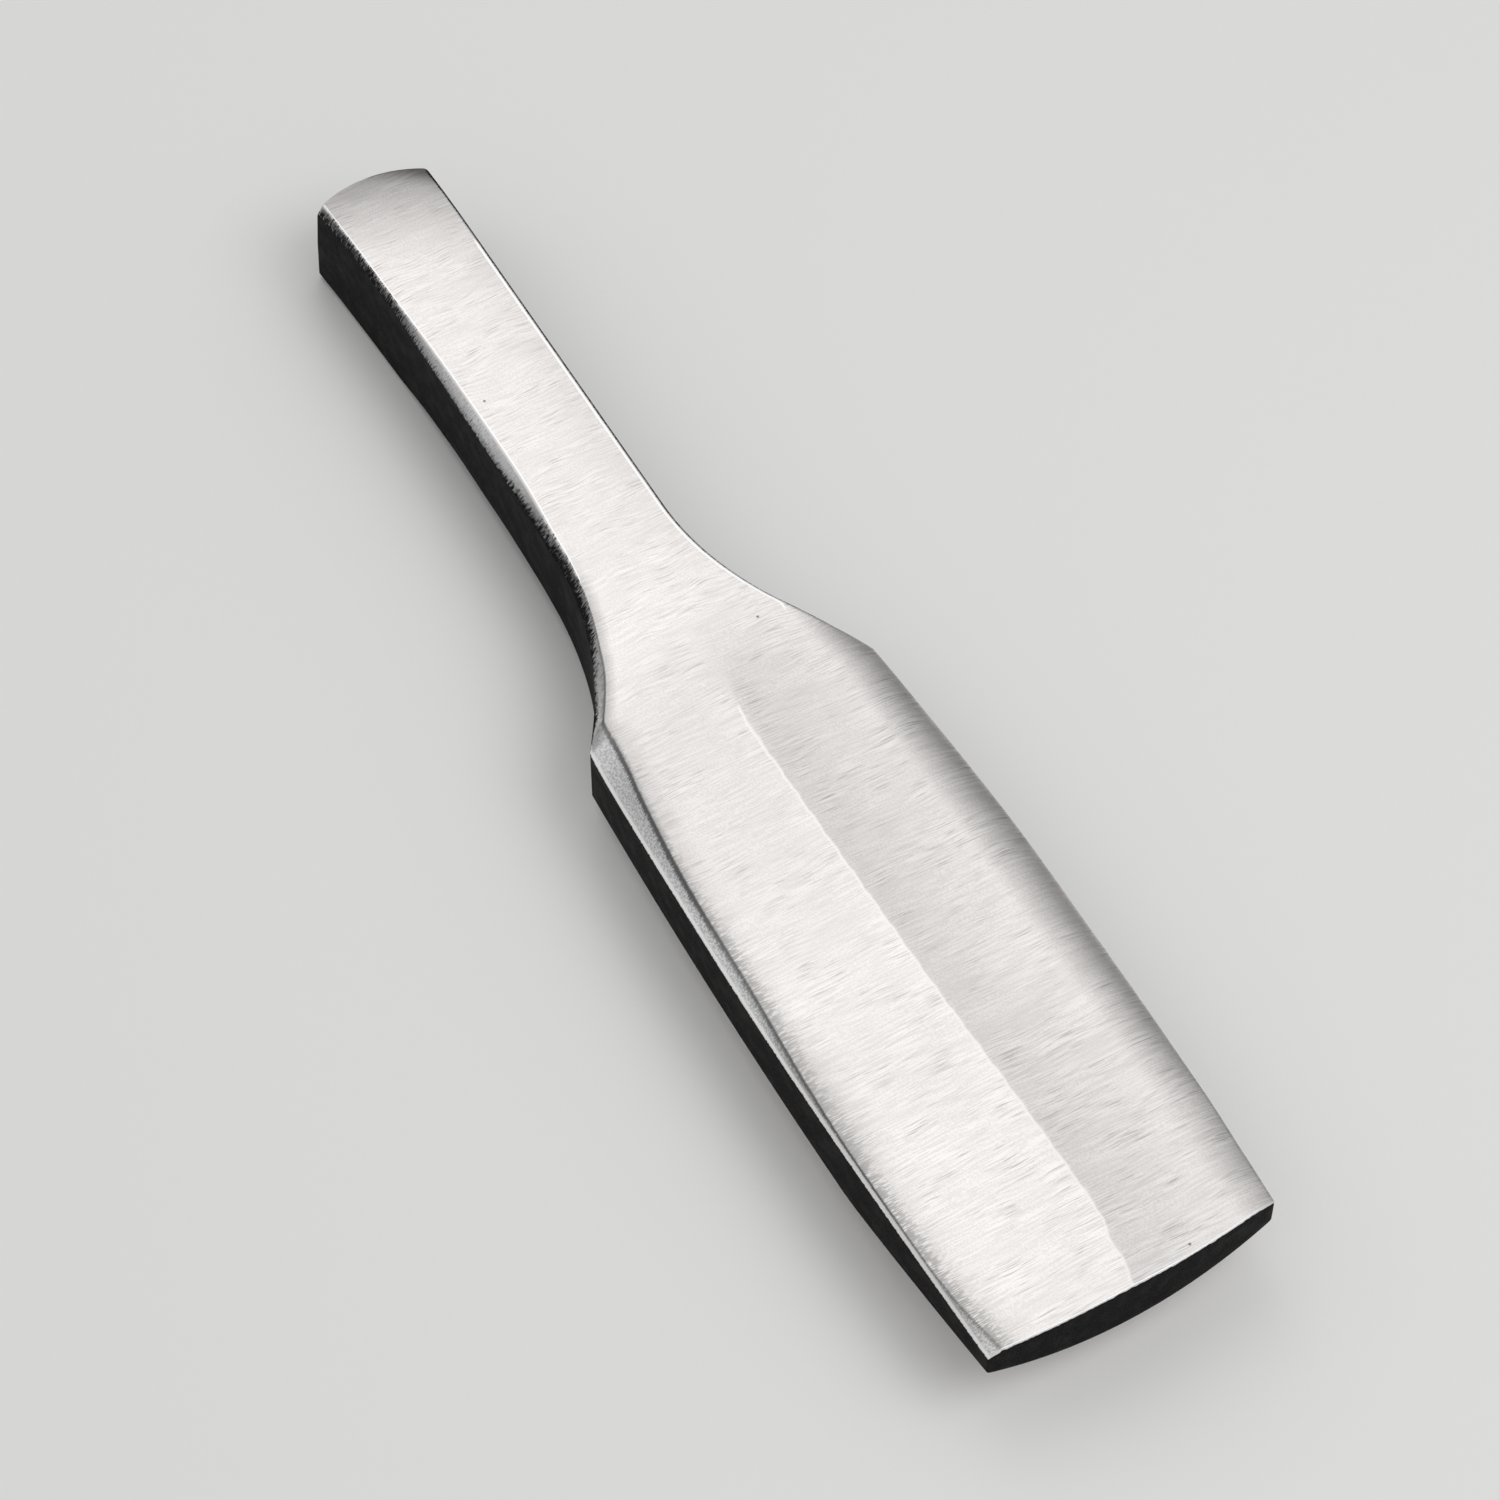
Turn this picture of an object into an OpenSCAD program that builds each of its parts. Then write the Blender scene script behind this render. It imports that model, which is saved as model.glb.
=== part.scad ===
// One-piece forged jewelry hammer: a square bar handle that flows through a curved neck into a broad head.
// +X runs from the butt to the front edge, +Z is up, and the underside rests at z = 0.
// The left side is at -Y and the right side at +Y. Stations are distances from the butt end.

/* [Overall] */
// Length from the butt end to the front edge
overall_length = 240; // [200:1:300]
// Thickness of the bar that the tool is forged from
bar_thickness = 18.4; // [14:0.1:24]

/* [Handle] */
// Width of the handle where it meets the neck
handle_width = 19.8; // [14:0.1:24]
// How far the middle of the handle lies left of the middle of the head
handle_offset = 0.9; // [0:0.1:2]
// How far the left flank draws in at the middle of the handle
left_waist = 0.9; // [0.1:0.05:1.5]
// How far the right flank draws in at the middle of the handle
right_waist = 0.4; // [0.1:0.05:1.5]
// Radius of the butt end, seen from above
butt_r = 17.5; // [14:0.5:60]
// How far the rearmost point of the butt end lies left of the middle of the head
butt_offset = 1.2; // [0:0.1:5]
// Radius at which the top face rolls down to the butt end
butt_roll_r = 135; // [15:1:200]
// Drop of the top face at the butt end
butt_roll_drop = 1.2; // [0.3:0.1:3]

/* [Edges of handle and neck] */
// Width of the bevel along the upper left edge, seen from above
left_bevel_w = 1.4; // [0.5:0.1:4]
// Depth of the bevel along the upper left edge
left_bevel_d = 1.7; // [0.5:0.1:4]
// Width of the bevel along the upper right edge, seen from above
right_bevel_w = 0.7; // [0.5:0.1:4]
// Depth of the bevel along the upper right edge
right_bevel_d = 0.5; // [0.3:0.1:4]
// Width of the bevel along the lower edges, seen from below
lower_bevel_w = 1.2; // [0.5:0.1:3]
// Depth of the bevel along the lower edges
lower_bevel_d = 1.2; // [0.5:0.1:3]

/* [Neck] */
// Station of the left shoulder corner
left_shoulder = 121.2; // [114:0.1:140]
// Station of the right shoulder corner
right_shoulder = 124.5; // [114:0.1:140]
// Angle of the left flare against the handle
left_flare = 34; // [24:0.5:45]
// Angle of the right flare against the handle
right_flare = 30; // [24:0.5:45]
// Radius of the concave curve from the handle into the left flare
left_neck_r = 60; // [20:1:70]
// Radius of the concave curve from the handle into the right flare
right_neck_r = 44; // [20:1:70]

/* [Head] */
// Width of the head at its widest station
head_width = 51.8; // [44:0.2:64]
// Station where the left side of the head is widest
left_widest = 198; // [150:1:210]
// Station where the right side of the head is widest
right_widest = 180; // [150:1:210]
// Radius of the bowed left side of the head
left_side_r = 1380; // [500:10:3000]
// Radius of the bowed right side of the head
right_side_r = 770; // [500:10:3000]
// Radius of the bowed front edge
front_r = 190; // [80:5:900]
// How far the foremost point of the front edge lies left of the middle
front_offset = 5.4; // [0:0.1:12]

/* [Top faces of the head] */
// Station where the ridge between the two top facets starts
ridge_start = 128; // [100:1:140]
// How far the start of the ridge lies left of the middle
ridge_offset = 0.9; // [0:0.1:4]
// Turn of the ridge to the right on its way to the front, in degrees
ridge_turn = 1; // [0:0.1:2]
// Fall of the ridge towards the front, in degrees
ridge_fall = 0.7; // [0.4:0.1:2.5]
// Tilt of the left top facet down from the ridge, in degrees
left_facet_tilt = 1.4; // [0.8:0.1:4]
// Tilt of the right top facet down from the ridge, in degrees
right_facet_tilt = 3.1; // [1:0.1:6]
// Radius at which the right facet rolls over to the side
roll_r = 10; // [8:0.5:20]
// Width of the roll where the right side is widest, seen from above
roll_w = 6.6; // [3:0.1:7.5]
// Width of the left edge strip at its narrowest, seen from above
strip_w = 0.9; // [0.3:0.1:3]
// Station where the left edge strip is narrowest
strip_narrowest = 196; // [180:1:215]
// Radius of the inner border of the left edge strip
strip_r = 530; // [400:5:800]
// Tilt of the left edge strip down from the facet, in degrees
strip_tilt = 33; // [20:1:50]

/* [Underside] */
// Radius of the crown across the underside
belly_r = 62; // [40:1:200]
// Width of the flat along the middle of the underside
belly_flat_w = 10; // [4:0.5:14]
// Length of the rise at the front of the underside
toe_length = 42; // [20:1:80]
// Height of the rise at the front edge, on the middle line
toe_rise = 7; // [2:0.1:9]
// Radius of the crown across the rise
toe_r = 76; // [60:1:200]

/* [Hidden] */

// Facets on small and on very large circles
$fn = 180;
large_fn = 1440;
// Amount by which cutting shapes reach past the surfaces that they cut
reach = head_width;
// Depth by which a curve sinks into the flat that it runs into, so that the two cross cleanly
sink = 0.02;

half_length = overall_length / 2;
half_head = head_width / 2;

// Sides: -1 is left and +1 is right
LEFT = -1;
RIGHT = 1;
function shoulder(side) = side == LEFT ? left_shoulder : right_shoulder;
function flare(side) = side == LEFT ? left_flare : right_flare;
function neck_r(side) = side == LEFT ? left_neck_r : right_neck_r;
function widest(side) = side == LEFT ? left_widest : right_widest;
function side_r(side) = side == LEFT ? left_side_r : right_side_r;
function waist(side) = side == LEFT ? left_waist : right_waist;
function facet_tilt(side) = side == LEFT ? left_facet_tilt : right_facet_tilt;
function bevel_w(side) = side == LEFT ? left_bevel_w : right_bevel_w;
function bevel_d(side) = side == LEFT ? left_bevel_d : right_bevel_d;

// Distance of a flank of the handle from the middle of the head
function flank(side) = handle_width / 2 - side * handle_offset;

// Place along X of a station
function along(station) = station - half_length;

// Half width of the head at a station, on its bowed side
function head_half_at(side, station) =
    half_head - side_r(side) + sqrt(pow(side_r(side), 2) - pow(station - widest(side), 2));

// Station where the flare line would meet the flank of the handle
function flare_foot(side) =
    shoulder(side) - (head_half_at(side, shoulder(side)) - flank(side)) / tan(flare(side));

// Length from the flare's foot to where the neck curve touches the flank and the flare
function neck_touch(side) = neck_r(side) * tan(flare(side) / 2);

// Station where the neck curve leaves the flank
function neck_start(side) = flare_foot(side) - neck_touch(side);

// Place on the +Y side where the neck curve runs into the flare
function flare_start(side) = [
    along(flare_foot(side)) + neck_touch(side) * cos(flare(side)),
    flank(side) + neck_touch(side) * sin(flare(side))
];

// Place across of the ridge at a station
function ridge_y(station) = (station - ridge_start) * tan(ridge_turn) - ridge_offset;

// Height of one side's top facet at a station and a place across
function facet_z(side, station, y) =
    bar_thickness - (station - ridge_start) * tan(ridge_fall)
    - side * (y - ridge_y(station)) * tan(facet_tilt(side));

// Radius of an arc that rises by a given height over a given half chord
function arc_r(half_chord, rise) = (half_chord * half_chord + rise * rise) / (2 * rise);

// Turns a +Y side shape to the side that it belongs to
module on_side(side) {
    mirror([0, side == LEFT ? 1 : 0, 0])
        children();
}

// Space beside the tool on the +Y side: hollow flank, concave neck curve and straight flare
module side_space(side) {
    half_chord = neck_start(side) / 2;
    hollow_r = arc_r(half_chord, waist(side));
    // hollow flank
    intersection() {
        translate([along(half_chord), flank(side) - waist(side) + hollow_r])
            circle(r = hollow_r, $fn = large_fn);
        translate([-half_length - reach, 0])
            square([neck_start(side) + reach, half_head + reach]);
    }
    // neck curve
    translate([along(neck_start(side)), flank(side) + neck_r(side) - sink])
        circle(r = neck_r(side), $fn = large_fn);
    // straight flare
    translate(flare_start(side))
        rotate(flare(side))
            translate([0, sink])
                square([head_width, head_width]);
}

// Everything on the inner side of one bowed side of the head, and all of the handle
module inside_of(side) {
    translate([along(widest(side)), side * (half_head - side_r(side))])
        circle(r = side_r(side), $fn = large_fn);
    translate([-half_length - reach, -reach])
        square([flare_foot(side) + reach, 2 * reach]);
}

// Outline of the whole tool, seen from above
module outline() {
    difference() {
        intersection() {
            square([overall_length + 2 * reach, head_width + 2 * reach], center = true);
            intersection_for (side = [LEFT, RIGHT])
                inside_of(side);
        }
        for (side = [LEFT, RIGHT])
            on_side(side)
                side_space(side);
    }
}

// Everything behind the bowed front edge
module behind_front() {
    translate([half_length - front_r, -front_offset, -reach])
        cylinder(r = front_r, h = bar_thickness + 2 * reach, $fn = large_fn);
}

// Everything ahead of the rounded butt end
module ahead_of_butt() {
    translate([butt_r - half_length, -butt_offset, -reach]) {
        cylinder(r = butt_r, h = bar_thickness + 2 * reach);
        translate([0, -head_width, 0])
            cube([overall_length, 2 * head_width, bar_thickness + 2 * reach]);
    }
}

// Everything above the crown that runs along the underside
module above_belly() {
    flat_sink = belly_r - sqrt(belly_r * belly_r - pow(belly_flat_w / 2, 2));
    translate([0, 0, belly_r - flat_sink])
        rotate([0, 90, 0])
            cylinder(r = belly_r, h = 2 * overall_length, center = true, $fn = large_fn);
}

// Everything above the crowned rise at the front of the underside
module above_toe() {
    translate([half_length - toe_length, 0, 0])
        rotate([0, -atan(toe_rise / toe_length), 0])
            translate([0, 0, toe_r])
                rotate([0, 90, 0])
                    cylinder(r = toe_r, h = 3 * overall_length, center = true, $fn = large_fn);
}

// Space above the top face where it rolls down to the butt end
module butt_roll() {
    roll_length = sqrt(butt_roll_r * butt_roll_r - pow(butt_roll_r - butt_roll_drop, 2));
    difference() {
        translate([-half_length - reach, -half_head, bar_thickness - butt_roll_r])
            cube([reach + roll_length, head_width, butt_roll_r + reach]);
        translate([roll_length - half_length, 0, bar_thickness - butt_roll_r - sink])
            rotate([90, 0, 0])
                cylinder(r = butt_roll_r, h = 2 * head_width, center = true, $fn = large_fn);
    }
}

// Puts a shape that is drawn along the X axis onto the ridge
module on_ridge() {
    translate([along(ridge_start), -ridge_offset, bar_thickness])
        rotate([0, ridge_fall, ridge_turn])
            children();
}

// Space above the two facets, which meet in the ridge
module above_facets() {
    on_ridge()
        for (side = [LEFT, RIGHT])
            rotate([-side * facet_tilt(side), 0, 0])
                translate([-overall_length, -head_width, 0])
                    cube([2 * overall_length, 2 * head_width, reach]);
}

// Space outside the right facet's roll-over to the side
module right_roll() {
    start = half_head - roll_w;
    translate([along(right_widest), start, facet_z(RIGHT, right_widest, start)])
        rotate([0, ridge_fall, 0])
            rotate([-right_facet_tilt, 0, 0])
                difference() {
                    translate([-overall_length, 0, -roll_r])
                        cube([2 * overall_length, reach, roll_r + reach]);
                    translate([0, 0, -roll_r - sink])
                        rotate([0, 90, 0])
                            cylinder(r = roll_r, h = 5 * overall_length, center = true);
                }
}

// Space outside the bevelled strip along the head's left edge
module left_strip() {
    inner = head_half_at(LEFT, strip_narrowest) - strip_w;
    depth = bar_thickness / 2;
    spread = depth / tan(strip_tilt);
    translate([along(strip_narrowest), -inner, facet_z(LEFT, strip_narrowest, -inner)])
        rotate([0, ridge_fall, 0])
            difference() {
                translate([flare_foot(LEFT) - strip_narrowest, -reach, -depth / 2])
                    cube([overall_length, reach + half_head, depth]);
                translate([0, strip_r, -depth])
                    cylinder(h = 2 * depth, r1 = strip_r + spread, r2 = strip_r - spread, $fn = large_fn);
            }
}

// Space outside a bevel of width w and depth d along the upper edge of flank, neck and flare, +Y side
module edge_bevel(side, w, d) {
    slope = atan(d / w);
    // hollow flank
    translate([-half_length - reach, flank(side) - w, bar_thickness])
        rotate([-slope, 0, 0])
            cube([neck_start(side) + reach, reach, reach]);
    // neck curve
    translate([along(neck_start(side)), flank(side) + neck_r(side) - sink, bar_thickness - 2 * d])
        cylinder(h = 4 * d, r1 = neck_r(side) - w, r2 = neck_r(side) + 3 * w, $fn = large_fn);
    // straight flare, running out on the side of the head
    translate([flare_start(side).x, flare_start(side).y, bar_thickness])
        rotate([0, 0, flare(side)])
            translate([0, -w, 0])
                rotate([-slope, 0, 0])
                    cube([head_width, reach, reach]);
}

// The whole tool: forged blank, ground top, bevelled edges
module hammer_body() {
    color([0.80, 0.80, 0.79])
        difference() {
            intersection() {
                linear_extrude(height = bar_thickness)
                    outline();
                behind_front();
                ahead_of_butt();
                above_belly();
                above_toe();
            }
            butt_roll();
            above_facets();
            right_roll();
            left_strip();
            for (side = [LEFT, RIGHT])
                on_side(side) {
                    edge_bevel(side, bevel_w(side), bevel_d(side));
                    translate([0, 0, bar_thickness])
                        mirror([0, 0, 1])
                            edge_bevel(side, lower_bevel_w, lower_bevel_d);
                }
        }
}

hammer_body();
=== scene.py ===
import functools
import math
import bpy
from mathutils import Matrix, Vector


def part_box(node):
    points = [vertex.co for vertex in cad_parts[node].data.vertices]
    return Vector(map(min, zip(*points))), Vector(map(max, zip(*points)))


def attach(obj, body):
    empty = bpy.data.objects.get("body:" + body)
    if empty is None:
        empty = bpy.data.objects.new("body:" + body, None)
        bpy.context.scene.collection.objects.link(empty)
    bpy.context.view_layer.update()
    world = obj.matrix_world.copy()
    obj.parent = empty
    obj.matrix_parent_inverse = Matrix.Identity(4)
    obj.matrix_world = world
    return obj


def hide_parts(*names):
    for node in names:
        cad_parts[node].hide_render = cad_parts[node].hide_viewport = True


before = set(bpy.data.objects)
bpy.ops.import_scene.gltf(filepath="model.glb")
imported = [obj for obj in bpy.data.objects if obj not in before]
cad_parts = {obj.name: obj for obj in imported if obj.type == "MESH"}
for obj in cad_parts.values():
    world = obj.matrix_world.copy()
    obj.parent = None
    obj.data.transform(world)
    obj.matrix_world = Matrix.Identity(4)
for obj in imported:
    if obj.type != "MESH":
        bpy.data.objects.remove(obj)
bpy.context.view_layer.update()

import types

import bpy
from mathutils import Vector

# A one-piece forged jewelry hammer: a square bar handle that flows through a curved neck into a broad
# head with a low ridge, ground bright on top and underneath, with dark forge skin on its flanks and ends.
# Sizes are in millimetres, apart from the studio's, and stations are distances from the butt end.
# Left is -Y and right is +Y. A list of pairs gives a value by station: each pair is a station and the value.
MM = 0.001
low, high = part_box("hammer_body")
LENGTH = (high.x - low.x) / MM
THICKNESS = (high.z - low.z) / MM
HALF_HEAD = (high.y - low.y) / MM / 2
HALF_LENGTH = LENGTH / 2
LEFT, RIGHT = -1, 1

# Plan of each side: flank of the handle at the neck, what it gains at the butt, its hollow, radius of the
# neck, angle of the flare, shoulder, widest station of the head, radius of its bow behind and ahead of that
PLAN = {
    LEFT: {"flank": 11.0, "taper": -0.5, "waist": 0.9, "neck_r": 60, "flare": 34, "shoulder": 121.2,
           "widest": 190, "rear_r": 1100, "fore_r": 1100},
    RIGHT: {"flank": 8.7, "taper": 0.7, "waist": 0, "neck_r": 50, "flare": 31, "shoulder": 125,
            "widest": 172, "rear_r": 520, "fore_r": 1000},
}
# Ends: radius, how far the outermost point lies left of the middle, and how far from an end rings still bend
BUTT_R, BUTT_OFFSET = 17.5, 1.2
FRONT_R, FRONT_OFFSET = 190, 5.4
END_BLEND = 30

# Roll of the top down to the butt
BUTT_ROLL_LENGTH, BUTT_ROLL_DROP = 18, 1.2
# Ridge: where it starts to fall, the length over which the fall sets in, and its slope
RIDGE_START, RIDGE_BLEND = 128, 20
RIDGE_FALL = math.tan(math.radians(0.7))
# Facets: stations over which they fade in, their slopes, and the hollow of the right one
FACET_FADE = (101, 122)
FACET_TILT = {LEFT: math.tan(math.radians(1.4)), RIGHT: math.tan(math.radians(4.9))}
HOLLOW_WIDTH, HOLLOW_RISE = 19, [(140, 0.85), (185, 1.1)]
# Place across of the ridge, and of the borders between the flat of the handle and each facet
RIDGE = [(128, -0.85), (140, -0.95), (165, -0.7), (186, -0.4), (205, 0.2), (226, 0.5), (229, 0.3),
         (231.5, -0.4), (235, -0.6), (238, -1), (240, -1.6)]
BORDER = {LEFT: [(96, -15), (112, -7.5)] + RIDGE, RIGHT: [(96, 7), (112, 2.5)] + RIDGE}
# Half the width over which the ridge is rounded
RIDGE_ROUND = [(0, 2.5), (112, 1.5), (130, 0.3), (160, 0.12), (240, 0.06)]
# Waves of the ridge: how far it wanders, radians per millimetre of the slow and of the fast wave, share and
# shift of the fast one, and how far from the ridge they die out
RIPPLE, RIPPLE_SLOW, RIPPLE_FAST = 0.1, 1.1, 2.7
FAST_SHARE, FAST_SHIFT, RIPPLE_REACH = 0.6, 1, 2.5

# Bevelled strip along the left edge: width and drop
STRIP_WIDTH = [(0, 1), (8, 0.85), (25, 0.95), (40, 1.4), (55, 1.7), (70, 2), (85, 1.55), (95, 1.4),
               (105, 1.5), (112, 2), (117.7, 2), (119.3, 2.6), (121.2, 3.7), (124, 3.75), (135, 2.95),
               (150, 2.15), (170, 1.9), (190, 1), (205, 0.65), (222, 0.65), (230, 0.95), (236, 1.7),
               (240, 2.2)]
STRIP_DROP = [(0, 0.7), (12, 0.9), (30, 1.15), (55, 1.35), (75, 1.4), (95, 1.5), (117.7, 1.9),
              (126, 2.45), (138, 2.1), (152, 1.6), (174, 1.4), (195, 0.95), (213, 0.7), (226, 0.75),
              (240, 1.2)]
# Small step at the strip's inner border: share of the strip's width and of its drop
STEP_WIDTH = [(0, 0.4), (114, 0.4), (123, 0.2), (150, 0.34), (175, 0.4), (240, 0.4)]
STEP_DROP = [(0, 0.4), (114, 0.4), (123, 0.3), (150, 0.55), (175, 0.6), (205, 0.5), (240, 0.4)]
# Roll-over along the right edge of the head: place across where it starts, and how steeply it falls
ROLL_START = [(112, 15), (118, 15.2), (122, 15.8), (127, 16.4), (138, 16.5), (150, 16.7), (165, 17),
              (180, 16.9), (200, 17.3), (218, 17.3), (230, 16.8)]
ROLL_STEEP = [(128, 0.0108), (138, 0.0106), (150, 0.0096), (165, 0.0092), (180, 0.01), (195, 0.0106),
              (210, 0.0098), (220, 0.0084), (240, 0.0088)]
ROLL_POWER = 2.5
# Narrow roll-over along the right edge of the handle: width and drop
LIP_WIDTH, LIP_DROP, LIP_POWER = 0.8, [(0, 0.7), (105, 0.7), (122, 0)], 3

# Underside: crown, flat along its middle, rise at the front, and bevel along the lower edges
BELLY_R, BELLY_FLAT = 62, 10
TOE_LENGTH, TOE_RISE, TOE_R, TOE_BLEND = 42, 7, 76, 0.5
LOWER_BEVEL = [(0, 0.35), (25, 0.35), (30, 0.5), (40, 1.9), (50, 2.7), (60, 2.9), (70, 3.4), (80, 3.4),
               (90, 1.8), (98, 0.7), (124, 0.5), (240, 0.4)]
# How far the left flank of the handle stands out at its foot, and the foot of the butt's end past its top
DRAFT = [(0, 0.8), (8, 0.6), (15, 0.45), (25, 0.2), (35, 0)]
BUTT_LEAN = 1.6
# How soon below the top both stand out: 1 is evenly, less is sooner
SWELL_POWER = 0.4
# Broken edges: radius, segments, the angle that counts as an edge, and the gap that is welded shut
EDGE_ROUND, EDGE_SEGMENTS, EDGE_ANGLE, WELD = 0.15, 3, math.radians(25), 0.002
SMOOTH_ANGLE = math.radians(28)

# Mesh: distance between rings, rows on each facet and on the roll-over, and how far from edges and from the
# ridge the nearest rows lie
RING_STEP, FACET_ROWS, ROLL_ROWS = 0.8, 11, 12
LINE_WIDTH, CREST_WIDTH = 0.4, 0.2
# Block that is drawn out to the bar: its size in metres, the cuts across its walls, how far from an edge the
# nearest cut lies, and the part of a low wall that this is at most
BLOCK_SIZE, WALL_CUTS = 1, 3
WALL_MARGIN, WALL_PARTS = 1.2, 3
# Distance between the sections that the finish is measured from
SECTION_STEP = 0.25

# Painted highlights, drawn as bright lines: width along the edges, along the strip's rim and along the ridge,
# a distance that is well clear of them, and the core of those along the edges
EDGE_HIGHLIGHT, RIM_HIGHLIGHT, RIDGE_HIGHLIGHT, LINE_FAR = 0.35, 0.55, 0.4, 3
EDGE_HIGHLIGHT_CORE = EDGE_HIGHLIGHT / 3
# How strongly the painted highlight on the ridge shines, and how matt the rim's painted highlight is
RIDGE_HIGHLIGHT_SHARE, RIM_HIGHLIGHT_HAZE = 0.8, 0.8
# Stations over which the edges change from those of the handle to those of the head, over which the painted
# highlight of the left edge ends, and over which those of the left facet's border and of the right edge start
HEAD_FADE, LEFT_LINE_FADE = (112, 122), (92, 104)
BORDER_LINE_FADE, RIGHT_LINE_FADE = (106, 116), (11, 24)
# Places across over which the butt's painted highlight ends
BUTT_LINE_FADE = (0, 4)
# Places along X, in metres, over which the finish of the handle changes to that of the head
HEAD_SPAN = (-4 * MM, 4 * MM)

# Painted shade on the ground top: at the butt, and how the border of that one slants and bends
BUTT_PAINTED_SHADE = [(-4, 0.78), (0, 0.51), (2, 0.385), (4, 0.325), (8, 0.245), (12, 0.185), (18, 0.1),
             (24, 0.03), (32, 0)]
BUTT_SLANT, BUTT_CORNER = 0.6, 0.035
# Painted shade on each side of the ridge
FACET_PAINTED_SHADE = {
    LEFT: [(20, 0.06), (90, 0.055), (105, 0.03), (122, 0.15), (140, 0.135), (160, 0.095), (180, 0.05),
           (190, 0.06), (200, 0.045), (210, 0.01)],
    RIGHT: [(20, 0.06), (100, 0.05), (110, 0.04), (122, 0.09), (150, 0.095), (170, 0.075), (190, 0.045)],
}
# Painted shade along the right edge of the handle
EDGE_PAINTED_SHADE = [(8, 0), (14, 0.02), (20, 0.02), (32, 0.08), (75, 0.085), (85, 0.05), (100, 0.02), (112, 0)]
EDGE_PAINTED_SHADE_WIDTH = 9
# Painted shade beside the strip
STRIP_PAINTED_SHADE = [(85, 0), (98, 0.35), (116, 0.35), (124, 0.14), (135, 0.2), (150, 0.18), (165, 0.12),
              (192, 0.25), (203, 0.25), (212, 0.14), (240, 0.16)]
STRIP_PAINTED_SHADE_WIDTH = [(100, 1.5), (116, 1.5), (124, 5), (170, 5), (190, 7), (240, 7)]
# Painted light: how much brighter the left facet is at the ridge, and how far from the ridge that reaches
RIDGE_PAINTED_LIGHT, RIDGE_PAINTED_LIGHT_WIDTH = 0.055, 5

# How far the dark skin of the flanks reaches over the edge onto the top; negative stays below the edge
SKIN_LEFT = [(0, -0.2), (3, 0.1), (8, 0.45), (14, 0.6), (24, 0.85), (32, 0.6), (38, 0.2), (55, 0.05),
             (66, 0.3), (74, 0.7), (84, 1.1), (90, 1.2), (96, 1.2), (104, 0.9), (109, 0.5), (112, 0.3),
             (116, 0.7), (119, 0.3), (122, -0.15), (240, -0.15)]
SKIN_RIGHT = [(0, 0.45), (95, 0.45), (115, 0.25), (122, -0.1), (240, -0.1)]
# The same at the ends, on the underside, and where the top stays clear of it
SKIN_ENDS, SKIN_UNDER, SKIN_CLEAR = -0.3, 0.1, -4
# Raggedness of the skin's border on the left and elsewhere, and the span over which the border blurs
SKIN_RAGGED = [(0, 6), (30, 5), (42, 3.5), (74, 3.5), (84, 5.5), (95, 4.5), (112, 3.5), (120, 0.8)]
SKIN_EVEN = 0.8
SKIN_RANGE = (-0.12, 0.12)

# Strip along the left edge: how ragged its border is on the handle and on the head, the span over which its
# grainy steel sets in, and how much darker that is
STRIP_JAG, STRIP_RANGE = (0.3, 1.6), (0.2, 0.6)
STRIP_SHADE = [(0, 0.5), (12, 0.6), (25, 0.5), (38, 0.15), (55, 0.05), (70, 0.25), (85, 0.4), (95, 0.3),
               (105, 0)]
# Painted shade in the groove inside the strip: spans over which it starts and ends, and how dark it is
GROOVE_INNER, GROOVE_OUTER = (-0.3, 0.25), (1, 0.55)
GROOVE_SHADE = [(118, 0.8), (124, 1), (152, 1), (168, 0.45), (190, 0.7), (208, 1), (218, 0.5),
                (228, 0.25), (240, 0.2)]
# Fringe of grinding marks beside the strip: width, how much denser it gets near the strip, the span of its
# marks, and a mark that is clear of it
FRINGE_WIDTH = [(118, 1), (140, 1.6), (160, 3), (190, 4), (240, 4)]
FRINGE_REACH, FRINGE_RANGE, FRINGE_CLEAR = 0.2, (0.54, 0.7), -1

# Patterns of the finish: size of the grains along, across and up, fineness, and turn in degrees
STROKES = {"size": (0.25, 6, 6), "detail": 2, "turn": 0.5}
SCRATCHES = {"size": (0.2, 4.5, 4.5), "detail": 1, "turn": 0.5}
CLUSTERS = {"size": (4, 7, 7), "detail": 1}
BANDS = {"size": (4, 22, 22), "detail": 3}
WAVES = {"size": (9, 9, 9), "detail": 1}
HAIRS = {"size": (0.2, 0.9, 0.9), "detail": 3}
TUFTS = {"size": (0.2, 1.5, 1.5), "detail": 2}
GRAIN = {"size": (0.3, 0.3, 0.3), "detail": 2}
BLOTCHES = {"size": (3.5, 2.5, 2.5), "detail": 4}
NOISE_MIDDLE = 0.5
# Levels of a pattern between which it goes from nothing to full, and how strongly it shows
STROKE_RANGE = (0.39, 0.62)
CLUSTER_RANGE = (0.38, 0.6)
DARK_SCRATCHES, BRIGHT_SCRATCHES, SCRATCH_SHARE = (0.56, 0.74), (0.42, 0.26), 0.9
BAND_RANGE, BAND_SHARE = (0.4, 0.75), 0.4
GRAIN_RANGE, GRAIN_SHARE = (0.35, 0.65), 0.4
SKIN_GRAIN_RANGE = (0.42, 0.7)
BLOTCH_RANGE, BLOTCH_SHARE = (0.4, 0.7), 0.4
# How strong the strokes are between clusters, and how far they wander along the handle and along the head
CALM, HANDLE_WAVE, HEAD_WAVE = 0.4, 1.1, 0.4
# Roughness of the steel and of the skin, gloss of the skin, relief, and how much stronger it is on the skin
STEEL_ROUGH, SKIN_ROUGH, SKIN_GLOSS = (0.32, 0.42), (0.7, 0.6), 0.07
BUMP, BUMP_DEPTH, SKIN_RELIEF = 0.15, 0.03, 4
# Small pits in the top: station and place across of each, and radius
PITS, PIT_R = [(53.5, -6.2), (112.5, 10.5), (238, 9)], 0.3

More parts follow.
